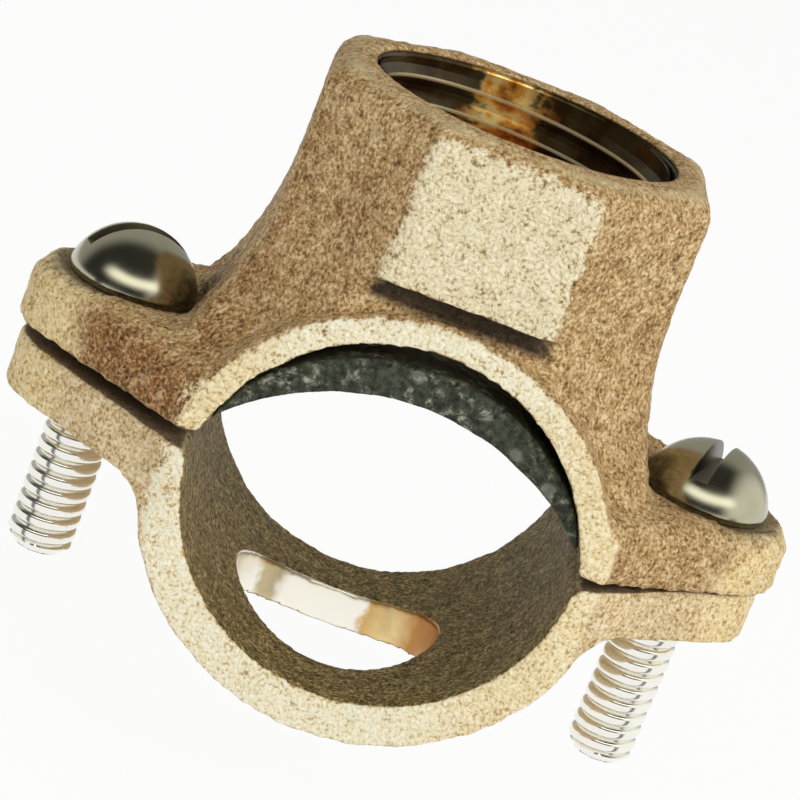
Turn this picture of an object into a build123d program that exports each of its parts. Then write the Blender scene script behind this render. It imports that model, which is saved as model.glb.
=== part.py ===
from build123d import *
from math import asin, atan2, radians, tan
import os

# Tapping saddle: a cast bronze saddle with a threaded outlet, its strap, a rubber gasket and two screws.
# Millimetres. X runs along the ears, Y along the pipe and Z up along the outlet.
# The origin is where the strap's bore axis crosses the outlet's axis, midway between the left ear faces.

# The pipe that the saddle is made for
pipe_diameter = 26.67

# Saddle casting
saddle_bore_clearance = 0.165
saddle_bore_axis_z = -2.1
saddle_ring_wall = 2.0
saddle_ring_edge_radius = 0.5
saddle_ear_thickness = 4.6
saddle_ear_end_radius = 6.65
saddle_ear_edge_radius = 2.2
saddle_lip_radius = 0.9

# Outlet boss: an octagon that flares into the ears, with a step under its front and back flats
boss_height_over_bore = 14.3
boss_top_round = 2.0
boss_corner_round = 1.3
boss_flare_radius = 8.5
boss_spread_radius = 28.0
boss_spread_height = 13.0
flare_edge_slope = 35.0
flat_height = 10.9
flat_step = 1.1
outlet_radius = 10.6
outlet_depth = 13.0
outlet_chamfer = 0.45
outlet_wall = 2.9
waterway_shoulder = 1.6

# Strap casting
strap_bore_clearance = 0.07
strap_wall = 2.95
strap_ear_thickness = 3.9
strap_ear_end_radius = 6.0
strap_ear_root_round = 2.6
strap_lip_radius = 1.2
strap_hole_diameter = 15.0

# Plan of the ears, and the gap between the castings: open at the left, nearly shut at the right
ear_root_beyond_core = 1.0
ear_corner_radius = 2.5
gap_left = 1.1
gap_right_root = 0.65
gap_right_tip = 0.12

# Screws: slotted round head machine screws, number 10 with 24 threads to the inch
screw_beyond_core = 7.5
screw_major_diameter = 4.83
screw_thread_clearance = 0.05
screw_length = 20.05
screw_tip_chamfer = 0.7
screw_head_diameter = 9.1
screw_head_height = 4.3
screw_head_rim = 0.6
screw_head_rim_round = 0.4
screw_slot_width = 1.25
screw_slot_depth = 2.1
left_slot_angle = 18.0
right_slot_angle = 70.0
clearance_hole_diameter = 5.5
spotface_diameter = 10.8
spotface_depth = 0.5

# Gasket: a moulded rubber pad, thick over the pipe and thin at its ends
gasket_thickness = 2.7
gasket_top_gap = 1.35
gasket_back_flattening = 1.4
gasket_face_flattening = 4.0
gasket_seat_clearance = 0.1
gasket_setback = 1.0
gasket_end_height = 0.9
gasket_hole_inset = 1.5

# What follows from the values above
strap_bore_radius = pipe_diameter / 2 + strap_bore_clearance
saddle_bore_radius = pipe_diameter / 2 + saddle_bore_clearance
saddle_bore_top_z = saddle_bore_axis_z + saddle_bore_radius
boss_across_flats = 2 * (outlet_radius + outlet_wall)
band_width = boss_across_flats
waterway_radius = outlet_radius - waterway_shoulder
gasket_hole_radius = waterway_radius - gasket_hole_inset
boss_top_z = saddle_bore_top_z + boss_height_over_bore
flat_bottom_z = boss_top_z - flat_height
core_half_length = max(saddle_bore_radius, boss_across_flats / 2)
ear_root_half_length = core_half_length + ear_root_beyond_core
screw_x = core_half_length + screw_beyond_core
gasket_outer_radius = saddle_bore_radius + gasket_back_flattening
gasket_inner_radius = saddle_bore_radius + gasket_face_flattening
saddle_face_z = gap_left / 2
strap_face_z = -gap_left / 2
ear_top_z = saddle_face_z + saddle_ear_thickness
boss_spread_top_z = ear_top_z + boss_spread_height
head_seat_z = ear_top_z - spotface_depth
tapped_hole_radius = screw_major_diameter / 2
screw_radius = tapped_hole_radius - screw_thread_clearance

# Far larger than the part: the reach of cutting tools
far = 200.0
UPWARD = (Align.CENTER, Align.CENTER, Align.MIN)
DOWNWARD = (Align.CENTER, Align.CENTER, Align.MAX)


def along_y(sketch, length):
    """Extrude a sketch, drawn as it is seen along the pipe, to both sides of the pipe's middle."""
    return extrude(Plane.XZ * sketch, amount=length / 2, both=True)


def pipe_cylinder(radius, axis_z, length):
    return Pos(0, 0, axis_z) * Rot(90, 0, 0) * Cylinder(radius, length)


def ear_plan(end_radius):
    """Seen along the outlet: as wide as the band at the root, drawn in to a round end at each screw."""
    root = Rectangle(2 * ear_root_half_length, band_width)
    left_end = Pos(-screw_x, 0) * Circle(end_radius)
    right_end = Pos(screw_x, 0) * Circle(end_radius)
    plan = make_hull(root.edges() + left_end.edges() + right_end.edges())
    corners = plan.vertices().filter_by(lambda v: abs(abs(v.Y) - band_width / 2) < 0.001)
    return fillet(corners, ear_corner_radius)


def bore_lips(body, face_z):
    """The long edges where a casting's ear faces, at this height on the left, meet its bore."""
    reach = ear_root_half_length
    lips = body.edges().filter_by(Axis.Y).filter_by(lambda e: abs(e.center().X) < reach)
    return lips.filter_by(lambda e: e.length > band_width / 2 and abs(e.center().Z - face_z) < gap_left)


def octagon_prism(bottom_z, top_z):
    octagon = RegularPolygon(boss_across_flats / 2, 8, major_radius=False, rotation=22.5)
    prism = Pos(0, 0, bottom_z) * extrude(octagon, top_z - bottom_z)
    return fillet(prism.edges().filter_by(Axis.Z), boss_corner_round)


def spread_profile():
    """The lower boss seen along the pipe: its sides spread towards the ears by a large round."""
    round_x = boss_across_flats / 2 + boss_spread_radius
    height = boss_spread_top_z - saddle_face_z
    profile = Pos(0, boss_spread_top_z) * Rectangle(2 * round_x, height, align=DOWNWARD[1:])
    for x in (-round_x, round_x):
        profile -= Pos(x, boss_spread_top_z) * Circle(boss_spread_radius)
    return profile


def boss_spread():
    """The lower boss: its side flats and the four beside them spread alike, its front and back stay upright."""
    profile = spread_profile()
    spread = along_y(profile, band_width)
    for angle in (-45, 45):
        spread &= Rot(0, 0, angle) * along_y(profile, far)
    corners = spread.edges().filter_by(lambda e: abs(e.tangent_at(0.5).Z) > 0.5)
    return fillet(corners, boss_corner_round)


def flare_hood(foot_z, height):
    """A hipped roof over the ears: their outline with sharp corners, drawn in evenly as it rises."""
    half_width = band_width / 2
    from_root = Vector(screw_x - ear_root_half_length, half_width)
    slant = atan2(from_root.Y, from_root.X) - asin(saddle_ear_end_radius / from_root.length)
    peak_x = ear_root_half_length + half_width / tan(slant)
    right = [(ear_root_half_length, half_width), (peak_x, 0), (ear_root_half_length, -half_width)]
    left = [(-x, -y) for x, y in right]
    outline = make_face(Polyline(*right, *left, close=True))
    draw_in = tan(radians(flare_edge_slope))
    foot = offset(outline, -saddle_ear_edge_radius + (ear_top_z - foot_z) * draw_in, kind=Kind.INTERSECTION)
    crest = offset(foot, -height * draw_in, kind=Kind.INTERSECTION)
    roof = loft([Pos(0, 0, foot_z) * foot, Pos(0, 0, foot_z + height) * crest], ruled=True)
    hips = roof.edges().filter_by(lambda e: abs(e.tangent_at(0).Z) > 0.1)
    return fillet(hips, ear_corner_radius)


def boss_flare():
    """The large round between the boss and the ear tops, drawn in towards the ears' outline."""
    plate_thickness = 1.0
    plate = Pos(0, 0, ear_top_z) * Box(far, far, plate_thickness, align=DOWNWARD)
    solid = plate + octagon_prism(ear_top_z - plate_thickness, ear_top_z + 2 * boss_flare_radius)
    foot = solid.edges().filter_by_position(Axis.Z, ear_top_z - 0.01, ear_top_z + 0.01)
    foot = foot.filter_by(lambda e: e.center().length < far / 4)
    solid = fillet(foot, boss_flare_radius)
    solid &= along_y(spread_profile(), far)
    return solid & flare_hood(ear_top_z - plate_thickness, plate_thickness + boss_flare_radius)


def saddle_blank():
    """Ears, flare, band and boss in one solid, before any hole or bore."""
    ears = extrude(ear_plan(saddle_ear_end_radius), saddle_ear_thickness)
    ears = Pos(0, 0, saddle_face_z) * fillet(ears.faces().sort_by(Axis.Z)[-1].edges(), saddle_ear_edge_radius)
    ring = pipe_cylinder(saddle_bore_radius + saddle_ring_wall, saddle_bore_axis_z, band_width)
    ring = fillet(ring.edges().filter_by(GeomType.CIRCLE), saddle_ring_edge_radius)
    boss = octagon_prism(saddle_face_z, boss_top_z)
    boss = fillet(boss.faces().sort_by(Axis.Z)[-1].edges(), boss_top_round) + boss_spread()
    for side in (-1, 1):
        boss -= flat_step_tool(side)
    above_faces = Pos(0, 0, saddle_face_z) * Box(far, far, far, align=UPWARD)
    return ears + boss_flare() + boss + (ring & above_faces)


def flat_step_tool(side):
    """Cuts the boss back below its front (-1) or back (1) flat, where it meets the band."""
    height = flat_bottom_z - saddle_face_z
    tool = Box(far, 2 * flat_step, height, align=UPWARD)
    return Pos(0, side * boss_across_flats / 2, saddle_face_z) * tool


def upper_saddle():
    """The saddle casting, bored for the pipe, the outlet and the screws."""
    body = saddle_blank() - pipe_cylinder(saddle_bore_radius, saddle_bore_axis_z, far)
    body = fillet(bore_lips(body, saddle_face_z), saddle_lip_radius)
    outlet = Cylinder(outlet_radius, far, align=UPWARD)
    mouth = Cone(outlet_radius, outlet_radius + outlet_chamfer, outlet_chamfer, align=UPWARD)
    body -= Cylinder(waterway_radius, far, align=UPWARD)
    body = body - Pos(0, 0, boss_top_z - outlet_depth) * outlet - Pos(0, 0, boss_top_z - outlet_chamfer) * mouth
    for x in (-screw_x, screw_x):
        body -= Pos(x, 0, 0) * Cylinder(clearance_hole_diameter / 2, far)
        body -= Pos(x, 0, head_seat_z) * Cylinder(spotface_diameter / 2, far, align=UPWARD)
    return body


def strap_outline():
    """The strap seen along the pipe: a half ring between two ears, with the right ear set higher."""
    reach = screw_x + strap_ear_end_radius
    root_x = ear_root_half_length
    root_z = saddle_face_z - gap_right_root
    tip_z = saddle_face_z - gap_right_tip
    middle_z = root_z - root_x * (tip_z - root_z) / (screw_x - root_x)
    top = [(-reach, strap_face_z), (0, strap_face_z), (0, middle_z), (screw_x, tip_z), (reach, tip_z)]
    under = [(reach, tip_z - strap_ear_thickness), (0, tip_z - strap_ear_thickness),
             (0, strap_face_z - strap_ear_thickness), (-reach, strap_face_z - strap_ear_thickness)]
    ears = make_face(Polyline(*top, *under, close=True))
    outer_radius = strap_bore_radius + strap_wall
    below_faces = Pos(0, strap_face_z - strap_ear_thickness / 2) * Rectangle(far, far, align=DOWNWARD[1:])
    outline = ears + (Circle(outer_radius) & below_faces)
    corners = outline.vertices().filter_by(lambda v: v.Y < strap_face_z - 1 and abs(v.X) < outer_radius)
    return fillet(corners, strap_ear_root_round)


def lower_strap():
    """The strap casting, with a hole in its bottom and a tapped hole in each ear."""
    body = along_y(strap_outline(), band_width)
    body &= Pos(0, 0, -far / 2) * extrude(ear_plan(strap_ear_end_radius), far)
    body -= pipe_cylinder(strap_bore_radius, 0, far)
    body = fillet(bore_lips(body, strap_face_z), strap_lip_radius)
    body -= Cylinder(strap_hole_diameter / 2, far, align=DOWNWARD)
    for x in (-screw_x, screw_x):
        body -= Pos(x, 0, 0) * Cylinder(tapped_hole_radius, far)
    return body


def gasket():
    """The rubber pad in the saddle's bore: a crescent that touches it towards its ends only."""
    top_z = saddle_bore_top_z - gasket_top_gap
    seat = Pos(0, saddle_bore_axis_z) * Circle(saddle_bore_radius - gasket_seat_clearance)
    outer = Pos(0, top_z - gasket_outer_radius) * Circle(gasket_outer_radius)
    inner = Pos(0, top_z - gasket_thickness - gasket_inner_radius) * Circle(gasket_inner_radius)
    above_ends = Pos(0, saddle_face_z + gasket_end_height) * Rectangle(far, far, align=(Align.CENTER, Align.MIN))
    pad = along_y((seat & outer & above_ends) - inner, band_width - 2 * gasket_setback)
    return pad - Cylinder(gasket_hole_radius, far, align=UPWARD)


def machine_screw(x, slot_angle):
    """A slotted round head screw at x, its shank left plain where the thread is cut."""
    shank = Cylinder(screw_radius, screw_length, align=DOWNWARD)
    shank = chamfer(shank.faces().sort_by(Axis.Z)[0].edges(), screw_tip_chamfer)
    radius = screw_head_diameter / 2
    crown_height = screw_head_height - screw_head_rim
    crown_radius = (radius**2 + crown_height**2) / (2 * crown_height)
    head = Cylinder(radius, screw_head_height, align=UPWARD)
    head &= Pos(0, 0, screw_head_height - crown_radius) * Sphere(crown_radius)
    head = fillet(head.faces().sort_by(Axis.Z)[0].edges(), screw_head_rim_round)
    slot = Box(far, screw_slot_width, 2 * screw_slot_depth)
    head -= Pos(0, 0, screw_head_height) * Rot(0, 0, slot_angle) * slot
    return Pos(x, 0, head_seat_z) * (shank + head)


parts = {
    "upper_saddle": upper_saddle(),
    "lower_strap": lower_strap(),
    "gasket": gasket(),
    "left_screw": machine_screw(-screw_x, left_slot_angle),
    "right_screw": machine_screw(screw_x, right_slot_angle),
}

os.makedirs("parts", exist_ok=True)
for name, solid in parts.items():
    export_step(solid, f"parts/{name}.step")
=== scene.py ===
from math import atan2, cos, hypot, pi, radians, sin
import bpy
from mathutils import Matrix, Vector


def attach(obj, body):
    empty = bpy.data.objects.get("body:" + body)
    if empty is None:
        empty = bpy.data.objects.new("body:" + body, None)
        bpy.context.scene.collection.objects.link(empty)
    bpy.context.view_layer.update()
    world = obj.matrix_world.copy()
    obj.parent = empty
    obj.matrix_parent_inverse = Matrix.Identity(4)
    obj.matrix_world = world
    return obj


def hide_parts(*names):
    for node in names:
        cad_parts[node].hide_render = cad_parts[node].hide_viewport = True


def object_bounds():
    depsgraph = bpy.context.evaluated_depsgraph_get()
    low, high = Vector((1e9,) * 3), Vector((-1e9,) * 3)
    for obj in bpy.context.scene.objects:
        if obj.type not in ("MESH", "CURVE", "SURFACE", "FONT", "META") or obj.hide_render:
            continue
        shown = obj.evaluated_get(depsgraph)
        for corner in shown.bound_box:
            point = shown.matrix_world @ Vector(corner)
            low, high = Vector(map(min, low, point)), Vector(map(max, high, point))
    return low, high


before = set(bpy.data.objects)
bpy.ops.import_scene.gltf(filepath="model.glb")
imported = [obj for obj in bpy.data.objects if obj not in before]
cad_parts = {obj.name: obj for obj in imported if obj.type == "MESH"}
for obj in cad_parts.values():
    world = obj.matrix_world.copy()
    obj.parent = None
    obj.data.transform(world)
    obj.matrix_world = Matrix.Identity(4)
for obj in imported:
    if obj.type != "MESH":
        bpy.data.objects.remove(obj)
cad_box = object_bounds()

from types import SimpleNamespace

import bpy
from mathutils import Matrix, Vector

# Tapping saddle: the dressed model. Metres, in the frame of the CAD model.
# X runs along the ears, Y along the pipe and Z up along the outlet.
MM = 0.001

# Sizes of the CAD model that the dressed pieces follow, in millimetres
PIPE_SIDE_Y = 13.5
SADDLE_BORE_RADIUS = 13.5
SADDLE_BORE_AXIS_Z = -2.1
STRAP_BORE_RADIUS = 13.405
STRAP_HOLE_RADIUS = 7.5
STRAP_TRAVEL = 10.6
EAR_TOP_Z = 5.15
BOSS_TOP_Z = 25.7
FLAT_BOTTOM_Z = 14.8
OUTLET_RADIUS = 10.6
OUTLET_FLOOR_Z = 12.7
THREAD_CREST_RADIUS = 10.0
SCREW_X = 21.0
SCREW_TIP_Z = -15.4
SCREW_CREST_RADIUS = 2.365
SPOTFACE_RADIUS = 5.4
CLEARANCE_HOLE_RADIUS = 2.75
HEAD_SEAT_Z = 4.65
HEAD_RADIUS = 4.55
HEAD_HEIGHT = 4.3
HEAD_RIM = 0.6

# Threads, in millimetres: 24 to the inch on the screws and 14 to the inch in the outlet
SCREW_PITCH = 25.4 / 24
SCREW_THREAD_DEPTH = 0.36
SCREW_TIP_CHAMFER = 0.7
OUTLET_PITCH = 25.4 / 14
PIPE_TAPER_PER_SIDE = 1 / 32
FIRST_CREST_DEPTH = 2.0

# Slots of the screw heads: millimetres, and degrees about the screw's axis
SLOT_WIDTH = 1.25
SLOT_DEPTH = 2.1
LEFT_SLOT_ANGLE = 18.0
RIGHT_SLOT_ANGLE = 70.0

# Heights of the cast and moulded grain, in millimetres
SAND_RELIEF = 0.16
GRAIN_RELIEF = 0.14
EAR_RELIEF = 0.26
RUBBER_RELIEF = 0.22

# How close vertices are welded, and the angle up to which turned pieces are shaded smooth
WELD = 0.003 * MM
SMOOTH_ANGLE = radians(32)


# Picking and shaping

def object_mode():
    if bpy.context.mode != "OBJECT":
        bpy.ops.object.mode_set(mode="OBJECT")


def pick(piece):
    """Selects this piece alone and makes it the active one."""
    object_mode()
    bpy.ops.object.select_all(action="DESELECT")
    piece.select_set(True)
    bpy.context.view_layer.objects.active = piece


def edit_all(piece):
    """Opens a piece in edit mode with everything selected."""
    pick(piece)
    bpy.ops.object.mode_set(mode="EDIT")
    bpy.ops.mesh.select_all(action="SELECT")


def apply_place(piece):
    pick(piece)
    bpy.ops.object.transform_apply(location=True, rotation=True, scale=True)


def apply_modifier(piece, kind, **settings):
    pick(piece)
    modifier = piece.modifiers.new(kind.title(), kind)
    for key, value in settings.items():
        setattr(modifier, key, value)
    bpy.ops.object.modifier_apply(modifier=modifier.name)


def smooth(piece, iterations, group=""):
    apply_modifier(piece, "SMOOTH", factor=0.5, iterations=iterations, vertex_group=group)


def ramp(value, low, high):
    """0 up to low, 1 from high on and a smooth rise between them."""
    t = min(max((value - low) / (high - low), 0.0), 1.0)
    return t * t * (3 - 2 * t)


def weights(piece, name, weight_of):
    """A vertex group whose weight at each vertex comes from its place in millimetres."""
    group = piece.vertex_groups.new(name=name)
    for vertex in piece.data.vertices:
        weight = weight_of(vertex.co / MM)
        if weight > 0.001:
            group.add([vertex.index], min(weight, 1.0), "REPLACE")
    return group.name


def skin_copy(node, name, voxel):
    """A node's own mesh, merged and remeshed into small even faces that can take a cast surface."""
    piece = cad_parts[node].copy()
    piece.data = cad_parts[node].data.copy()
    piece.parent = None
    piece.name = name
    piece.data.name = name
    bpy.context.scene.collection.objects.link(piece)
    for key in [k for k in piece.keys() if k.startswith("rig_")]:
        del piece[key]
    piece.data.materials.clear()
    edit_all(piece)
    bpy.ops.mesh.remove_doubles(threshold=0.002 * MM)
    apply_modifier(piece, "REMESH", mode="VOXEL", voxel_size=voxel * MM, use_smooth_shade=True)
    return piece


def cloud(name, size, depth=2):
    """A cloud texture with blotches of about this size in millimetres."""
    texture = bpy.data.textures.new(name, "CLOUDS")
    texture.noise_scale = size * MM
    texture.noise_depth = depth
    return texture


def roughen(piece, group, texture, height):
    apply_modifier(piece, "DISPLACE", texture=texture, texture_coords="LOCAL", strength=height * MM,
                   mid_level=0.5, vertex_group=group)


def keep_in_box(piece):
    """Flattens the few grains that would stand out of the CAD model's box, as tumbling does."""
    for vertex in piece.data.vertices:
        for axis in range(3):
            vertex.co[axis] = min(max(vertex.co[axis], cad_box[0][axis]), cad_box[1][axis])


def finish_piece(piece, body, slot, *nodes):
    keep_in_box(piece)
    pick(piece)
    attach(piece, body)
    if nodes:
        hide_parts(*nodes)


# Colours and shader nodes

def srgb(code):
    """A hex colour as linear values."""
    parts = [int(code[i:i + 2], 16) / 255 for i in (1, 3, 5)]
    return tuple(c / 12.92 if c <= 0.04045 else ((c + 0.055) / 1.055) ** 2.4 for c in parts) + (1.0,)


def add(tree, kind, inputs=None, **settings):
    """Adds a shader node with its settings, its values and its links."""
    node = tree.nodes.new("ShaderNode" + kind)
    for key, value in settings.items():
        setattr(node, key, value)
    for key, value in (inputs or {}).items():
        socket = node.inputs[key]
        if isinstance(value, bpy.types.NodeSocket):
            tree.links.new(value, socket)
        else:
            socket.default_value = value
    return node


def empty_tree(owner):
    """Turns on the nodes of a material or a world and clears them."""
    owner.use_nodes = True
    owner.node_tree.nodes.clear()
    return owner.node_tree


def new_material(name):
    """A material with a principled shader, and the Object coordinates that its patterns use."""
    material = bpy.data.materials.new(name)
    tree = empty_tree(material)
    shader = add(tree, "BsdfPrincipled")
    add(tree, "OutputMaterial", {"Surface": shader.outputs[0]})
    coords = add(tree, "TexCoord").outputs["Object"]
    return material, tree, shader, coords


def per_metre(size):
    """The scale of a pattern whose cells are this many millimetres across."""
    return 1.0 / (size * MM)


def maths(tree, operation, a, b=0.0, c=0.0):
    return add(tree, "Math", {0: a, 1: b, 2: c}, operation=operation).outputs[0]


def times(tree, a, b):
    return maths(tree, "MULTIPLY", a, b)


def scaled_sum(tree, a, factor, b):
    """a times factor, plus b."""
    return maths(tree, "MULTIPLY_ADD", a, factor, b)


def about_half(tree, pattern):
    """A pattern from 0 to 1, moved to lie about 0."""
    return maths(tree, "SUBTRACT", pattern, 0.5)


def magnitude(tree, value):
    return maths(tree, "ABSOLUTE", value)


def xyz(tree, vector):
    return add(tree, "SeparateXYZ", {0: vector}).outputs


def length(tree, x, y):
    """Length of a flat vector."""
    flat = add(tree, "CombineXYZ", {0: x, 1: y}).outputs[0]
    return add(tree, "VectorMath", {0: flat}, operation="LENGTH").outputs["Value"]


def rise(tree, value, low, high):
    """0 below low and 1 above high, as a mask; low above high turns it over."""
    node = add(tree, "MapRange", {"Value": value, "From Min": low, "From Max": high},
               interpolation_type="SMOOTHSTEP")
    if low > high:
        node.inputs["From Min"].default_value = high
        node.inputs["From Max"].default_value = low
        node.inputs["To Min"].default_value = 1.0
        node.inputs["To Max"].default_value = 0.0
    return node.outputs[0]


def rise_straight(tree, value, low, high):
    return add(tree, "MapRange", {"Value": value, "From Min": low, "From Max": high}).outputs[0]


def mix(tree, factor, a, b):
    return add(tree, "Mix", {"Factor": factor, 6: a, 7: b}, data_type="RGBA").outputs[2]


def tint(tree, mask, strength, colour, code):
    """Lays a hex colour over another colour where the mask says, at this strength."""
    return mix(tree, times(tree, mask, strength), colour, srgb(code))


def gradient(tree, value, *stops):
    """Colours along a value: each stop is a place from 0 to 1 and a hex colour."""
    node = add(tree, "ValToRGB", {"Fac": value})
    marks = node.color_ramp.elements
    while len(marks) < len(stops):
        marks.new(0.5)
    for mark, (place, code) in zip(marks, stops):
        mark.position = place
        mark.color = srgb(code)
    return node.outputs["Color"]


def noise(tree, coords, size, detail=2.0, roughness=0.5, distortion=0.0):
    """Noise whose blotches are this many millimetres across."""
    node = add(tree, "TexNoise", {"Vector": coords, "Scale": per_metre(size), "Detail": detail,
                                  "Roughness": roughness, "Distortion": distortion})
    return node.outputs["Fac"]


# The cast bronze

def casting_places(tree, coords):
    """What the layers of a casting's colour go by: places, directions and the grain of the sand."""
    at = SimpleNamespace(coords=coords)
    at.x, at.y, at.z = xyz(tree, coords)
    facing = xyz(tree, add(tree, "TexCoord").outputs["Normal"])
    at.outwards = magnitude(tree, at.x)
    at.along = magnitude(tree, at.y)
    at.side_facing = magnitude(tree, facing[1])
    at.facing_z = facing[2]
    at.level_facing = magnitude(tree, at.facing_z)
    at.from_outlet = length(tree, at.x, at.y)

    # Sand grains of about a quarter of a millimetre, drawn out in places by tumbling, over soft swells
    at.grains = noise(tree, coords, 0.26, detail=3.0, roughness=0.6, distortion=0.4)
    at.clumps = noise(tree, coords, 0.95)
    at.swells = noise(tree, coords, 3.0)
    at.relief = scaled_sum(tree, at.clumps, 0.3, at.grains)
    at.tone = rise_straight(tree, at.relief, 0.46, 0.84)
    return at


def foundry_skin(tree, at, skin):
    """Brown skin in colours for pits, flats and tips, burnt at the ears' roots and pale at their ends."""
    # The castings stay hot longest where the ears leave the band, and are burnt reddest there
    reach_out = scaled_sum(tree, about_half(tree, at.swells), 5.0 * MM, at.outwards)
    root = times(tree, rise(tree, at.outwards, 11.0 * MM, 15.0 * MM),
                 rise(tree, reach_out, 24.5 * MM, 21.5 * MM))
    pattern = scaled_sum(tree, root, 0.07, noise(tree, at.coords, 5.0, detail=4.0, roughness=0.6))
    burnt = times(tree, rise(tree, pattern, 0.5, 0.66), 0.5)
    # Less so on top, and on the strap
    burnt = times(tree, burnt, scaled_sum(tree, rise(tree, at.facing_z, 0.3, 0.8), -0.7, 1.0))
    above_joint = rise(tree, at.z, -0.5 * MM, 0.5 * MM)
    burnt = times(tree, burnt, scaled_sum(tree, above_joint, 0.65, 0.35))
    # The sides of the saddle's left ear are burnt all over
    left_root = times(tree, times(tree, root, rise(tree, at.side_facing, 0.4, 0.8)),
                      rise(tree, at.x, 2.0 * MM, -2.0 * MM))
    left_root = times(tree, left_root, above_joint)
    burnt = maths(tree, "MAXIMUM", burnt, times(tree, left_root, rise(tree, at.clumps, 0.15, 0.42)))
    brown = gradient(tree, at.tone, (0.0, skin[0]), (0.45, skin[1]), (1.0, skin[2]))
    red = gradient(tree, at.tone, (0.0, "#3e2510"), (0.5, "#946639"), (1.0, "#deb47e"))
    colour = mix(tree, burnt, brown, red)

    # The ends of the ears knock against other castings in the tumbler
    ends = times(tree, rise(tree, reach_out, 21.0 * MM, 25.0 * MM), 0.95)
    knocked = gradient(tree, at.tone, (0.0, "#a8864a"), (0.4, "#f0d398"), (1.0, "#fff4d0"))
    colour = mix(tree, ends, colour, knocked)
    worn = rise(tree, add(tree, "NewGeometry").outputs["Pointiness"], 0.53, 0.6)
    colour = tint(tree, worn, 0.35, colour, "#e6d0a2")

    # Between the ears the faces that meet across the joint are painted dark: painted shade in the gap
    # between the castings
    shaded_joint = times(tree, rise(tree, at.level_facing, 0.7, 0.95),
                  rise(tree, magnitude(tree, at.z), 1.3 * MM, 0.9 * MM))
    return tint(tree, shaded_joint, 0.8, colour, "#4a2812")


def rubbed_and_lit_flats(tree, at, colour):
    """Only the flats furthest out along the pipe are made pale, partly rubbed and partly painted light on
    the faces turned along the pipe: the step under the boss stays brown.
    """
    outermost = rise(tree, at.along, (PIPE_SIDE_Y - 0.75) * MM, (PIPE_SIDE_Y - 0.4) * MM)
    # At the right the pale, rubbed and painted light, reaches round the edge of the band
    to_the_right = rise(tree, at.x, 5.0 * MM, 12.0 * MM)
    reach = scaled_sum(tree, to_the_right, 0.3, at.side_facing)
    reach = scaled_sum(tree, about_half(tree, at.grains), 0.4, reach)
    reach = scaled_sum(tree, about_half(tree, at.clumps), 0.6, reach)
    rubbed_and_lit = times(tree, rise(tree, reach, 0.7, 0.94), outermost)

    on_boss = gradient(tree, at.tone, (0.0, "#a8916a"), (0.35, "#e8d8ae"), (0.8, "#fdf3d8"))
    on_band = gradient(tree, at.tone, (0.0, "#c6ae7c"), (0.3, "#f6e7be"), (0.7, "#fffae4"))
    # The band turns golden towards the right and at the left foot of the saddle, where it was rubbed less
    left_foot = times(tree, rise(tree, at.x, -8.0 * MM, -13.0 * MM), rise(tree, at.z, -1.0 * MM, 1.0 * MM))
    golden = times(tree, maths(tree, "MAXIMUM", to_the_right, left_foot), 0.8)
    gold = gradient(tree, at.tone, (0.0, "#b0955f"), (0.35, "#eed29a"), (0.8, "#fff2cc"))
    on_band = mix(tree, golden, on_band, gold)
    pale = mix(tree, rise(tree, at.z, 12.5 * MM, 13.5 * MM), on_band, on_boss)
    return mix(tree, rubbed_and_lit, colour, pale)


def shade_and_scale_in_step(tree, at, colour):
    """Painted shade in the step under the boss, with the sand and scale that stay there."""
    below_flat = times(tree, rise(tree, at.z, 12.9 * MM, 13.7 * MM),
                       rise(tree, at.z, (FLAT_BOTTOM_Z + 0.25) * MM, (FLAT_BOTTOM_Z - 0.05) * MM))
    deep = times(tree, rise(tree, at.along, (PIPE_SIDE_Y - 2.2) * MM, (PIPE_SIDE_Y - 1.7) * MM),
                 rise(tree, at.along, (PIPE_SIDE_Y - 0.3) * MM, (PIPE_SIDE_Y - 0.6) * MM))
    ragged = scaled_sum(tree, at.clumps, 1.5 * MM, at.outwards)
    shade_in_step = times(tree, times(tree, below_flat, deep), rise(tree, ragged, 7.5 * MM, 6.2 * MM))
    return tint(tree, shade_in_step, 0.94, colour, "#21170a")


def dirt_and_shade_in_seats(tree, at, colour):
    """Oil and dirt gather in the seats under the screw heads, and painted shade darkens them where the
    heads stand over them.
    """
    from_screw = length(tree, maths(tree, "SUBTRACT", at.outwards, SCREW_X * MM), at.y)
    from_screw = scaled_sum(tree, about_half(tree, at.clumps), 2.0 * MM, from_screw)
    dirt_and_shade = times(tree, rise(tree, from_screw, 6.6 * MM, 4.8 * MM), rise(tree, at.z, 3.6 * MM, 4.4 * MM))
    return tint(tree, dirt_and_shade, 0.72, colour, "#35291a")


def knocked_and_lit_rim(tree, at, colour):
    """The top edge of the boss is knocked pale, with a painted highlight along it."""
    lit_rim = times(tree, rise(tree, at.z, (BOSS_TOP_Z - 0.6) * MM, (BOSS_TOP_Z - 0.1) * MM),
                rise(tree, at.from_outlet, (OUTLET_RADIUS + 1.3) * MM, (OUTLET_RADIUS + 2.3) * MM))
    return tint(tree, lit_rim, 0.6, colour, "#dccb9c")


def shaded_bore(tree, at, colour, axis_z, radius):
    """The bore is painted in the darkest skin, as painted shade inside it. Its edge is ragged."""
    from_axis = length(tree, at.x, maths(tree, "SUBTRACT", at.z, axis_z * MM))
    ragged = scaled_sum(tree, at.clumps, 0.5 * MM, from_axis)
    in_bore = times(tree, rise(tree, ragged, (radius + 0.75) * MM, (radius + 0.5) * MM),
                    rise(tree, at.side_facing, 0.75, 0.45))
    skin = gradient(tree, at.tone, (0.0, "#382b13"), (0.5, "#8b7440"), (1.0, "#dcc388"))
    return mix(tree, in_bore, colour, skin)


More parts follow.
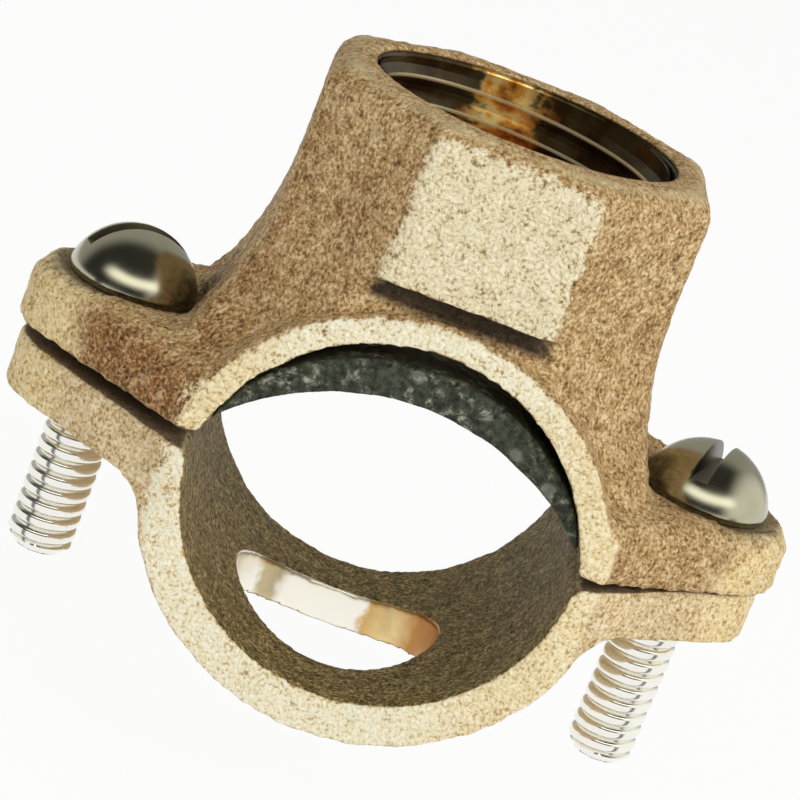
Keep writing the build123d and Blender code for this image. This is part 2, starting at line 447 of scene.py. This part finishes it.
def lit_hole_colour(tree, at):
    """Freshly cut bronze, painted nearly white as a painted reflection of the white backdrop, with golden
    oil run to the right and in a streak at the left.
    """
    wander = times(tree, noise(tree, at.coords, 1.5, detail=4.0, roughness=0.6), 2.0 * MM)
    across = maths(tree, "ADD", at.x, wander)
    right_oil = rise(tree, across, 3.4 * MM, 4.0 * MM)
    streak = magnitude(tree, maths(tree, "ADD", across, 3.6 * MM))
    left_oil = times(tree, rise(tree, streak, 1.1 * MM, 0.3 * MM), 0.8)
    oil = gradient(tree, rise_straight(tree, across, -8.0 * MM, 8.0 * MM),
                   (0.3, "#b9a468"), (0.75, "#d6b06c"), (0.86, "#f0d59a"), (0.97, "#b98342"))
    return mix(tree, maths(tree, "MAXIMUM", right_oil, left_oil), srgb("#fffbee"), oil)


def shaded_thread_colour(tree, at):
    """Tapped bronze painted dark at its sides as painted shade inside the outlet, with a clean golden place
    at the front and at the back.
    """
    blots = noise(tree, at.coords, 2.2, detail=4.0, roughness=0.6)
    from_middle = magnitude(tree, maths(tree, "ADD", at.x, 1.2 * MM))
    # The dark laid over the sides is painted shade inside the outlet
    oil = rise(tree, scaled_sum(tree, blots, 8.0 * MM, from_middle), 5.8 * MM, 7.2 * MM)
    clean = gradient(tree, blots, (0.36, "#8d4a16"), (0.5, "#e2a045"), (0.6, "#ffdf8f"))
    return tint(tree, oil, 0.95, clean, "#1f180e")


def cast_bronze(name, skin, bore_axis_z, bore_radius, cut_colour, cut_radius, cut_low_z, cut_high_z):
    """Sand cast red bronze, tumbled: a grainy brown foundry skin, rubbed pale on its outermost flats and
    painted lighter there as painted light.

    Inside the cut cylinder, about the outlet's axis, the metal is machined, smooth and bright."""
    material, tree, shader, coords = new_material(name)
    at = casting_places(tree, coords)
    colour = foundry_skin(tree, at, skin)
    colour = rubbed_and_lit_flats(tree, at, colour)
    colour = shade_and_scale_in_step(tree, at, colour)
    colour = dirt_and_shade_in_seats(tree, at, colour)
    colour = knocked_and_lit_rim(tree, at, colour)
    colour = shaded_bore(tree, at, colour, bore_axis_z, bore_radius)

    near = rise_straight(tree, at.from_outlet, (cut_radius + 0.02) * MM, (cut_radius - 0.02) * MM)
    off_middle = magnitude(tree, maths(tree, "SUBTRACT", at.z, (cut_low_z + cut_high_z) / 2 * MM))
    between = maths(tree, "LESS_THAN", off_middle, (cut_high_z - cut_low_z) / 2 * MM)
    cut = times(tree, times(tree, near, between), rise(tree, at.level_facing, 0.75, 0.55))
    colour = mix(tree, cut, colour, cut_colour(tree, at))
    tree.links.new(colour, shader.inputs["Base Color"])
    tree.links.new(scaled_sum(tree, cut, 0.55, 0.25), shader.inputs["Metallic"])
    tree.links.new(scaled_sum(tree, cut, -0.36, 0.62), shader.inputs["Roughness"])
    height = times(tree, scaled_sum(tree, at.swells, 0.6, at.relief), maths(tree, "SUBTRACT", 1.0, cut))
    bump = add(tree, "Bump", {"Height": height, "Distance": 0.3 * MM, "Strength": 1.0})
    tree.links.new(bump.outputs[0], shader.inputs["Normal"])
    return material


def tapped_bronze(name):
    """The tapped outlet: glossy bronze with painted shade, and a painted highlight in a thin line along the
    crests.
    """
    material, tree, shader, coords = new_material(name)
    at = SimpleNamespace(coords=coords)
    at.x, at.y, at.z = xyz(tree, coords)
    depth = maths(tree, "SUBTRACT", BOSS_TOP_Z * MM, at.z)
    untapered = scaled_sum(tree, depth, PIPE_TAPER_PER_SIDE, length(tree, at.x, at.y))
    above_crest = maths(tree, "SUBTRACT", untapered, THREAD_CREST_RADIUS * MM)
    # A painted highlight in a thin line along the crests
    crest = times(tree, rise(tree, above_crest, 0.1 * MM, 0.03 * MM), rise(tree, depth, 1.2 * MM, 1.8 * MM))
    colour = tint(tree, crest, 0.65, shaded_thread_colour(tree, at), "#f0dca8")
    tree.links.new(colour, shader.inputs["Base Color"])
    shader.inputs["Metallic"].default_value = 0.55
    shader.inputs["Roughness"].default_value = 0.24
    return material


# The rubber and the plated steel

def moulded_rubber(name):
    """Moulded black rubber: dull green-black, with grey scuffs and round spots left from its mould."""
    material, tree, shader, coords = new_material(name)
    scuffs = noise(tree, coords, 0.9, detail=7.0, roughness=0.8, distortion=0.3)
    patches = rise(tree, noise(tree, coords, 4.0), 0.34, 0.62)
    right_end = rise(tree, xyz(tree, coords)[0], 6.0 * MM, 11.0 * MM)
    patches = maths(tree, "MAXIMUM", patches, times(tree, right_end, 0.8))
    dust = times(tree, rise(tree, scuffs, 0.51, 0.64), patches)
    mottling = noise(tree, coords, 0.45, detail=4.0, roughness=0.7)
    colour = gradient(tree, mottling, (0.34, "#060904"), (0.64, "#4a4f3d"))
    spots = add(tree, "TexVoronoi", {"Vector": coords, "Scale": per_metre(2.8)}, feature="F1")
    colour = tint(tree, rise(tree, spots.outputs["Distance"], 0.26, 0.18), 0.5, colour, "#8b8d7e")
    colour = tint(tree, dust, 0.9, colour, "#b4b6a4")
    tree.links.new(colour, shader.inputs["Base Color"])
    shader.inputs["Metallic"].default_value = 0.0
    shader.inputs["Roughness"].default_value = 0.6
    bump = add(tree, "Bump", {"Height": scuffs, "Distance": 0.25 * MM, "Strength": 1.0})
    tree.links.new(bump.outputs[0], shader.inputs["Normal"])
    return material


def nickel_plate(name, dark, light, metallic, smoothest, roughest):
    """Nickel plated steel: bright, slightly yellow, with faint duller clouds."""
    material, tree, shader, coords = new_material(name)
    clouds = noise(tree, coords, 2.5, detail=3.0)
    tree.links.new(mix(tree, clouds, srgb(dark), srgb(light)), shader.inputs["Base Color"])
    shader.inputs["Metallic"].default_value = metallic
    roughness = add(tree, "MapRange", {"Value": clouds, "To Min": smoothest, "To Max": roughest})
    tree.links.new(roughness.outputs[0], shader.inputs["Roughness"])
    return material


saddle_bronze = cast_bronze("sand_cast_bronze_saddle", skin=("#6a4d2a", "#c29c65", "#f3ddb2"),
                            bore_axis_z=SADDLE_BORE_AXIS_Z, bore_radius=SADDLE_BORE_RADIUS,
                            cut_colour=shaded_thread_colour, cut_radius=OUTLET_RADIUS + 0.42,
                            cut_low_z=OUTLET_FLOOR_Z - 0.2, cut_high_z=BOSS_TOP_Z - 0.03)
strap_bronze = cast_bronze("sand_cast_bronze_strap", skin=("#a08252", "#eacd9a", "#fff5da"),
                           bore_axis_z=0.0, bore_radius=STRAP_BORE_RADIUS,
                           cut_colour=lit_hole_colour, cut_radius=STRAP_HOLE_RADIUS + 0.1,
                           cut_low_z=-20.0, cut_high_z=-8.0)
thread_bronze = tapped_bronze("tapped_bronze")
rubber = moulded_rubber("moulded_rubber")
# The heads are polished, their slots are cut and dull and painted darker as painted shade in the slots, and
# the threads are bright from rolling
head_nickel = nickel_plate("polished_nickel_plate", dark="#a6a28c", light="#cac7b2",
                           metallic=1.0, smoothest=0.14, roughest=0.27)
shaded_slot_nickel = nickel_plate("shaded_slot_nickel_plate", dark="#5f5a48", light="#8e8973",
                           metallic=1.0, smoothest=0.3, roughest=0.45)
thread_nickel = nickel_plate("rolled_nickel_plate", dark="#efece2", light="#fbfaf4",
                             metallic=0.95, smoothest=0.12, roughest=0.2)

coarse_sand = cloud("coarse_sand", 2.2)
fine_sand = cloud("fine_sand", 0.7, depth=1)


# The saddle casting

def from_screw_axis(p):
    return hypot(abs(p.x) - SCREW_X, p.y)


def saddle_cast_weight(p):
    """1 on the foundry skin and 0 at what is machined: the outlet, the screw holes and their spotfaces."""
    clear_of_outlet = ramp(hypot(p.x, p.y), OUTLET_RADIUS + 0.25, OUTLET_RADIUS + 0.9)
    from_screw = from_screw_axis(p)
    clear_of_screw = ramp(from_screw, SPOTFACE_RADIUS - 0.2, SPOTFACE_RADIUS + 0.4)
    if p.z < EAR_TOP_Z - 1.0:
        clear_of_screw = ramp(from_screw, CLEARANCE_HOLE_RADIUS + 0.2, CLEARANCE_HOLE_RADIUS + 0.8)
    return min(clear_of_outlet, clear_of_screw)


def flare_weight(p):
    """1 over the flare between the boss and the ears, where a casting has no crease."""
    side = ramp(p.z, EAR_TOP_Z - 0.6, EAR_TOP_Z + 0.6) * ramp(p.z, FLAT_BOTTOM_Z + 2, FLAT_BOTTOM_Z - 2)
    from_bore_axis = hypot(p.x, p.z - SADDLE_BORE_AXIS_Z)
    off_ring = ramp(from_bore_axis, SADDLE_BORE_RADIUS + 2.0, SADDLE_BORE_RADIUS + 3.0)
    off_flat = ramp(abs(p.x), 6.2, 7.6)
    return side * off_ring * off_flat * ramp(from_screw_axis(p), SPOTFACE_RADIUS, SPOTFACE_RADIUS + 0.8)


saddle = skin_copy("upper_saddle", "saddle_casting", voxel=0.27)
flare = weights(saddle, "flare", flare_weight)
smooth(saddle, iterations=40, group=flare)
cast_skin = weights(saddle, "cast_skin", saddle_cast_weight)
smooth(saddle, iterations=2, group=cast_skin)
roughen(saddle, cast_skin, coarse_sand, SAND_RELIEF)
roughen(saddle, cast_skin, fine_sand, GRAIN_RELIEF)
ears = weights(saddle, "ears", lambda p: saddle_cast_weight(p) * ramp(abs(p.x), 13.5, 17.0))
roughen(saddle, ears, fine_sand, EAR_RELIEF)
saddle.data.materials.append(saddle_bronze)
finish_piece(saddle, "saddle", "cast_bronze", "upper_saddle")


# The strap casting

def strap_cast_weight(p):
    """1 on the foundry skin and 0 at the round hole and at the tapped holes."""
    clear_of_hole = 1.0
    if p.z < -8:
        clear_of_hole = ramp(hypot(p.x, p.y), STRAP_HOLE_RADIUS + 0.2, STRAP_HOLE_RADIUS + 0.7)
    return min(clear_of_hole, ramp(from_screw_axis(p), SCREW_CREST_RADIUS + 0.3, SCREW_CREST_RADIUS + 1.0))


strap = skin_copy("lower_strap", "strap_casting", voxel=0.25)
smooth(strap, iterations=4)
cast_skin = weights(strap, "cast_skin", strap_cast_weight)
roughen(strap, cast_skin, coarse_sand, SAND_RELIEF)
roughen(strap, cast_skin, fine_sand, GRAIN_RELIEF)
strap.data.materials.append(strap_bronze)
finish_piece(strap, "strap", "cast_bronze", "lower_strap")


# The gasket
gasket = skin_copy("gasket", "gasket_pad", voxel=0.2)
smooth(gasket, iterations=3)
everywhere = weights(gasket, "skin", lambda p: 1.0)
roughen(gasket, everywhere, cloud("rubber_swells", 3.0), RUBBER_RELIEF)
gasket.data.materials.append(rubber)
finish_piece(gasket, "saddle", "gasket_rubber", "gasket")


# Threads and screws

def traced_line(name, points):
    """A chain of edges through these points in millimetres, drawn in the XZ plane."""
    object_mode()
    bpy.ops.object.select_all(action="DESELECT")
    bpy.ops.mesh.primitive_plane_add(size=MM, location=(0, 0, 0))
    line = bpy.context.active_object
    line.name = name
    line.data.name = name
    edit_all(line)
    bpy.ops.mesh.merge(type="CENTER")
    bpy.ops.transform.translate(value=Vector((points[0][0], 0, points[0][1])) * MM)
    for (x0, z0), (x1, z1) in zip(points, points[1:]):
        step = Vector((x1 - x0, 0, z1 - z0)) * MM
        bpy.ops.mesh.extrude_region_move(TRANSFORM_OT_translate={"value": step})
    object_mode()
    return line


def turned(name, points, steps):
    """A solid of revolution about Z from a profile that starts and ends on the axis."""
    piece = traced_line(name, points)
    edit_all(piece)
    bpy.ops.mesh.spin(steps=steps, angle=2 * pi, center=(0, 0, 0), axis=(0, 0, 1))
    bpy.ops.mesh.select_all(action="SELECT")
    bpy.ops.mesh.remove_doubles(threshold=WELD)
    bpy.ops.mesh.normals_make_consistent(inside=False)
    object_mode()
    return piece


def helix(name, tooth, pitch, turns, steps):
    """A thread: one tooth's profile, a pitch tall, turned about Z as it rises."""
    piece = traced_line(name, tooth)
    apply_modifier(piece, "SCREW", axis="Z", angle=2 * pi, screw_offset=pitch * MM, iterations=turns,
                   steps=steps, render_steps=steps, use_merge_vertices=True, merge_threshold=WELD,
                   use_smooth_shade=False)
    edit_all(piece)
    bpy.ops.mesh.remove_doubles(threshold=WELD)
    object_mode()
    return piece


def cut_across(piece, z, keep_above, closed=True):
    """Cuts a piece off at this height and closes it there, unless it is an open sleeve."""
    edit_all(piece)
    bpy.ops.mesh.bisect(plane_co=(0, 0, z * MM), plane_no=(0, 0, 1), use_fill=closed,
                        clear_inner=keep_above, clear_outer=not keep_above)
    object_mode()


def place(piece, x, z):
    piece.location = (x * MM, 0, z * MM)
    apply_place(piece)


def set_radius(vertex, radius):
    """Moves a vertex to this distance from the Z axis, in millimetres."""
    scale = radius * MM / hypot(vertex.co.x, vertex.co.y)
    vertex.co.x *= scale
    vertex.co.y *= scale


def screw_thread(reach):
    """The threaded shank below a head seated at z = 0, with its tip drawn in."""
    p = SCREW_PITCH
    # Wide rounded ridges with narrow grooves between them, as the photograph shows
    tooth = [(SCREW_CREST_RADIUS - SCREW_THREAD_DEPTH * abs(2 * i / 10 - 1) ** 3.5, i / 10 * p)
             for i in range(11)]
    turns = int(reach / p) + 3
    shank = helix("screw_shank", tooth, p, turns, 48)
    place(shank, 0, -reach - p)
    cut_across(shank, -reach, keep_above=True)
    cut_across(shank, 0.5, keep_above=False)
    for vertex in shank.data.vertices:
        above_tip = vertex.co.z / MM + reach
        limit = SCREW_CREST_RADIUS - SCREW_TIP_CHAMFER + above_tip
        if above_tip < SCREW_TIP_CHAMFER and hypot(vertex.co.x, vertex.co.y) > limit * MM:
            set_radius(vertex, limit)
    return shank


def screw_head(slot_angle):
    """The round head above z = 0, with its slot cut and its edges broken."""
    crown_height = HEAD_HEIGHT - HEAD_RIM
    crown_radius = (HEAD_RADIUS ** 2 + crown_height ** 2) / (2 * crown_height)
    crown_centre = HEAD_HEIGHT - crown_radius
    profile = [(0, 0), (HEAD_RADIUS - 0.4, 0), (HEAD_RADIUS - 0.12, 0.12), (HEAD_RADIUS, 0.4)]
    start = atan2(HEAD_RIM - crown_centre, HEAD_RADIUS)
    count = 14
    for i in range(count):
        angle = start + (pi / 2 - start) * i / count
        profile.append((crown_radius * cos(angle), crown_centre + crown_radius * sin(angle)))
    profile.append((0, HEAD_HEIGHT))
    head = turned("screw_head", profile, 72)
    bpy.ops.object.select_all(action="DESELECT")
    bpy.ops.mesh.primitive_cube_add(size=MM, location=(0, 0, HEAD_HEIGHT * MM),
                                    rotation=(0, 0, radians(slot_angle)),
                                    scale=(12, SLOT_WIDTH, 2 * SLOT_DEPTH))
    cutter = bpy.context.active_object
    apply_place(cutter)
    for piece in (head, cutter):
        piece.data.materials.append(head_nickel)
        piece.data.materials.append(shaded_slot_nickel)
    for face in cutter.data.polygons:
        face.material_index = 1
    apply_modifier(head, "BOOLEAN", object=cutter, operation="DIFFERENCE", solver="EXACT")
    bpy.data.objects.remove(cutter)
    apply_modifier(head, "BEVEL", width=0.09 * MM, segments=2, limit_method="ANGLE",
                   angle_limit=radians(40))
    return head


def machine_screw(name, node, x, slot_angle):
    shank = screw_thread(HEAD_SEAT_Z - SCREW_TIP_Z)
    shank.data.materials.append(thread_nickel)
    head = screw_head(slot_angle)
    pick(head)
    shank.select_set(True)
    bpy.ops.object.join()
    head.name = name
    head.data.name = name
    place(head, x, HEAD_SEAT_Z)
    bpy.ops.object.shade_smooth_by_angle(angle=SMOOTH_ANGLE)
    finish_piece(head, node, "plated_steel", node)


machine_screw("left_machine_screw", "left_screw", -SCREW_X, LEFT_SLOT_ANGLE)
machine_screw("right_machine_screw", "right_screw", SCREW_X, RIGHT_SLOT_ANGLE)


def outlet_thread():
    """The outlet's thread: ridges that stand in from the bore, and further in with depth."""
    p = OUTLET_PITCH
    root = OUTLET_RADIUS - 0.1
    crest = THREAD_CREST_RADIUS
    tooth = [(root, 0), (root, 0.14 * p), (crest, 0.5 * p), (crest, 0.56 * p), (root, 0.92 * p), (root, p)]
    top = BOSS_TOP_Z - 0.5
    turns = int((top - OUTLET_FLOOR_Z) / p) + 2
    ridges = helix("outlet_thread", tooth, p, turns, 96)
    # The first full crest passes the back where the photograph shows it, this many pitches below the end
    crest_from_end = 1.23
    place(ridges, 0, BOSS_TOP_Z - FIRST_CREST_DEPTH - (turns - crest_from_end) * p)
    cut_across(ridges, OUTLET_FLOOR_Z + 0.05, keep_above=True, closed=False)
    cut_across(ridges, top, keep_above=False, closed=False)
    for vertex in ridges.data.vertices:
        depth = BOSS_TOP_Z - vertex.co.z / MM
        ridge = root - hypot(vertex.co.x, vertex.co.y) / MM
        # The ridge fades out at the mouth, and its crest draws in with depth as a pipe thread's does
        faded = ridge * ramp(depth, 0.0, 1.6)
        drawn_in = faded + depth * PIPE_TAPER_PER_SIDE * min(ridge / (root - crest), 1.0)
        set_radius(vertex, root - drawn_in)
    return ridges


thread = outlet_thread()
pick(thread)
bpy.ops.object.shade_smooth_by_angle(angle=SMOOTH_ANGLE)
thread.data.materials.append(thread_bronze)
finish_piece(thread, "saddle", "cast_bronze")


# The floor

def white_backdrop(name):
    """White to the camera and in reflections; elsewhere a plain pale surface that takes the shadow."""
    material = bpy.data.materials.new(name)
    tree = empty_tree(material)
    path = add(tree, "LightPath")
    seen = maths(tree, "MAXIMUM", path.outputs["Is Camera Ray"], path.outputs["Is Glossy Ray"])
    seen = maths(tree, "MAXIMUM", seen, path.outputs["Is Transmission Ray"])
    # In reflections two dark cards lie in front, one towards each side, and draw a line down each screw
    card_bearing, glow_share = radians(54), 0.93
    x, y = xyz(tree, add(tree, "TexCoord").outputs["Object"])[:2]
    sideways = maths(tree, "SUBTRACT", magnitude(tree, x), SCREW_X * MM)
    bearing = maths(tree, "ARCTAN2", sideways, times(tree, y, -1.0))
    off_card = magnitude(tree, maths(tree, "SUBTRACT", bearing, card_bearing))
    card = times(tree, rise(tree, off_card, radians(9), radians(5)), path.outputs["Is Glossy Ray"])
    matte = add(tree, "BsdfDiffuse", {"Color": srgb("#f4f4f2")})
    glow = add(tree, "Emission", {"Color": srgb("#ffffff"), "Strength": scaled_sum(tree, card, -0.9, 1.0)})
    share = times(tree, seen, glow_share)
    blended = add(tree, "MixShader", {0: share, 1: matte.outputs[0], 2: glow.outputs[0]})
    add(tree, "OutputMaterial", {"Surface": blended.outputs[0]})
    return material


object_mode()
bpy.ops.object.select_all(action="DESELECT")
# The floor lies where the strap rests at the end of its travel, so that it is never hidden
bpy.ops.mesh.primitive_plane_add(size=4.0, location=(0, 0, cad_box[0][2] - STRAP_TRAVEL * MM))
floor = bpy.context.active_object
floor.name = "floor"
floor.data.materials.append(white_backdrop("pale_floor"))


# The room and the lamps

def studio_room():
    """White to the camera, and plain soft light on the part.

    What polished metal mirrors is a grey wall behind the part, a bright one at the right, a dark room
    above and in front, and in front a long soft light, some 30 degrees up."""
    world = bpy.data.worlds.new("studio")
    bpy.context.scene.world = world
    tree = empty_tree(world)
    path = add(tree, "LightPath")
    x, y, z = xyz(tree, add(tree, "TexCoord").outputs["Generated"])
    back_wall = times(tree, rise(tree, y, 0.0, 0.5), 0.42)
    right_wall = times(tree, rise(tree, x, 0.4, 0.8), 1.05)
    walls = maths(tree, "MAXIMUM", back_wall, right_wall)
    off_strip = magnitude(tree, maths(tree, "SUBTRACT", z, 0.5))
    strip = times(tree, rise(tree, off_strip, 0.17, 0.04), rise(tree, y, -0.35, -0.75))
    mirrored = maths(tree, "ADD", scaled_sum(tree, strip, 2.4, walls), 0.04)
    strength = add(tree, "Mix", {0: path.outputs["Is Glossy Ray"], 2: 0.5, 3: mirrored})
    room = add(tree, "Background", {"Color": srgb("#f4f3ea"), "Strength": strength.outputs[0]})
    white = add(tree, "Background", {"Color": srgb("#ffffff"), "Strength": 1.0})
    seen = maths(tree, "MAXIMUM", path.outputs["Is Camera Ray"], path.outputs["Is Transmission Ray"])
    shown = add(tree, "MixShader", {0: seen, 1: room.outputs[0], 2: white.outputs[0]})
    add(tree, "OutputWorld", {"Surface": shown.outputs[0]})


def softbox(name, azimuth, elevation, width, height, power):
    """An area lamp 0.7 m away, aimed at the middle of the part; azimuth 0 is in front, towards -Y."""
    lamp = bpy.data.lights.new(name, "AREA")
    lamp.shape = "RECTANGLE"
    lamp.size = width
    lamp.size_y = height
    lamp.energy = power
    holder = bpy.data.objects.new(name, lamp)
    bpy.context.scene.collection.objects.link(holder)
    a, e = radians(azimuth), radians(elevation)
    away = Vector((sin(a) * cos(e), -cos(a) * cos(e), sin(e)))
    holder.location = away * 0.7
    holder.rotation_euler = away.to_track_quat("Z", "Y").to_euler()
    holder.visible_glossy = False


studio_room()
softbox("front_softbox", azimuth=22, elevation=32, width=0.8, height=0.2, power=3.3)
softbox("left_softbox", azimuth=-80, elevation=30, width=0.4, height=0.4, power=0.4)
softbox("right_softbox", azimuth=75, elevation=25, width=0.4, height=0.4, power=0.5)


# The camera, fitted to the photograph: the view is turned by 21.6 degrees about its own axis
azimuth, elevation, roll = radians(-3.48), radians(16.54), radians(21.57)
focal_pixels, frame_pixels, sensor_width = 3472.63, 800, 36
aside, above, away = 0.38, 3.65, 239.83
right = Vector((cos(azimuth), sin(azimuth), 0))
back = Vector((sin(azimuth) * cos(elevation), -cos(azimuth) * cos(elevation), sin(elevation)))
up = back.cross(right)
across = cos(roll) * right + sin(roll) * up
upright = -sin(roll) * right + cos(roll) * up
camera_data = bpy.data.cameras.new("camera")
camera_data.lens = sensor_width * focal_pixels / frame_pixels
camera_data.clip_start = 0.01
camera = bpy.data.objects.new("camera", camera_data)
bpy.context.scene.collection.objects.link(camera)
spot = (across * aside + upright * above + back * away) * MM
camera.matrix_world = Matrix.Translation(spot) @ Matrix((across, upright, back)).transposed().to_4x4()
bpy.context.scene.camera = camera
bpy.context.scene.view_settings.view_transform = "Standard"
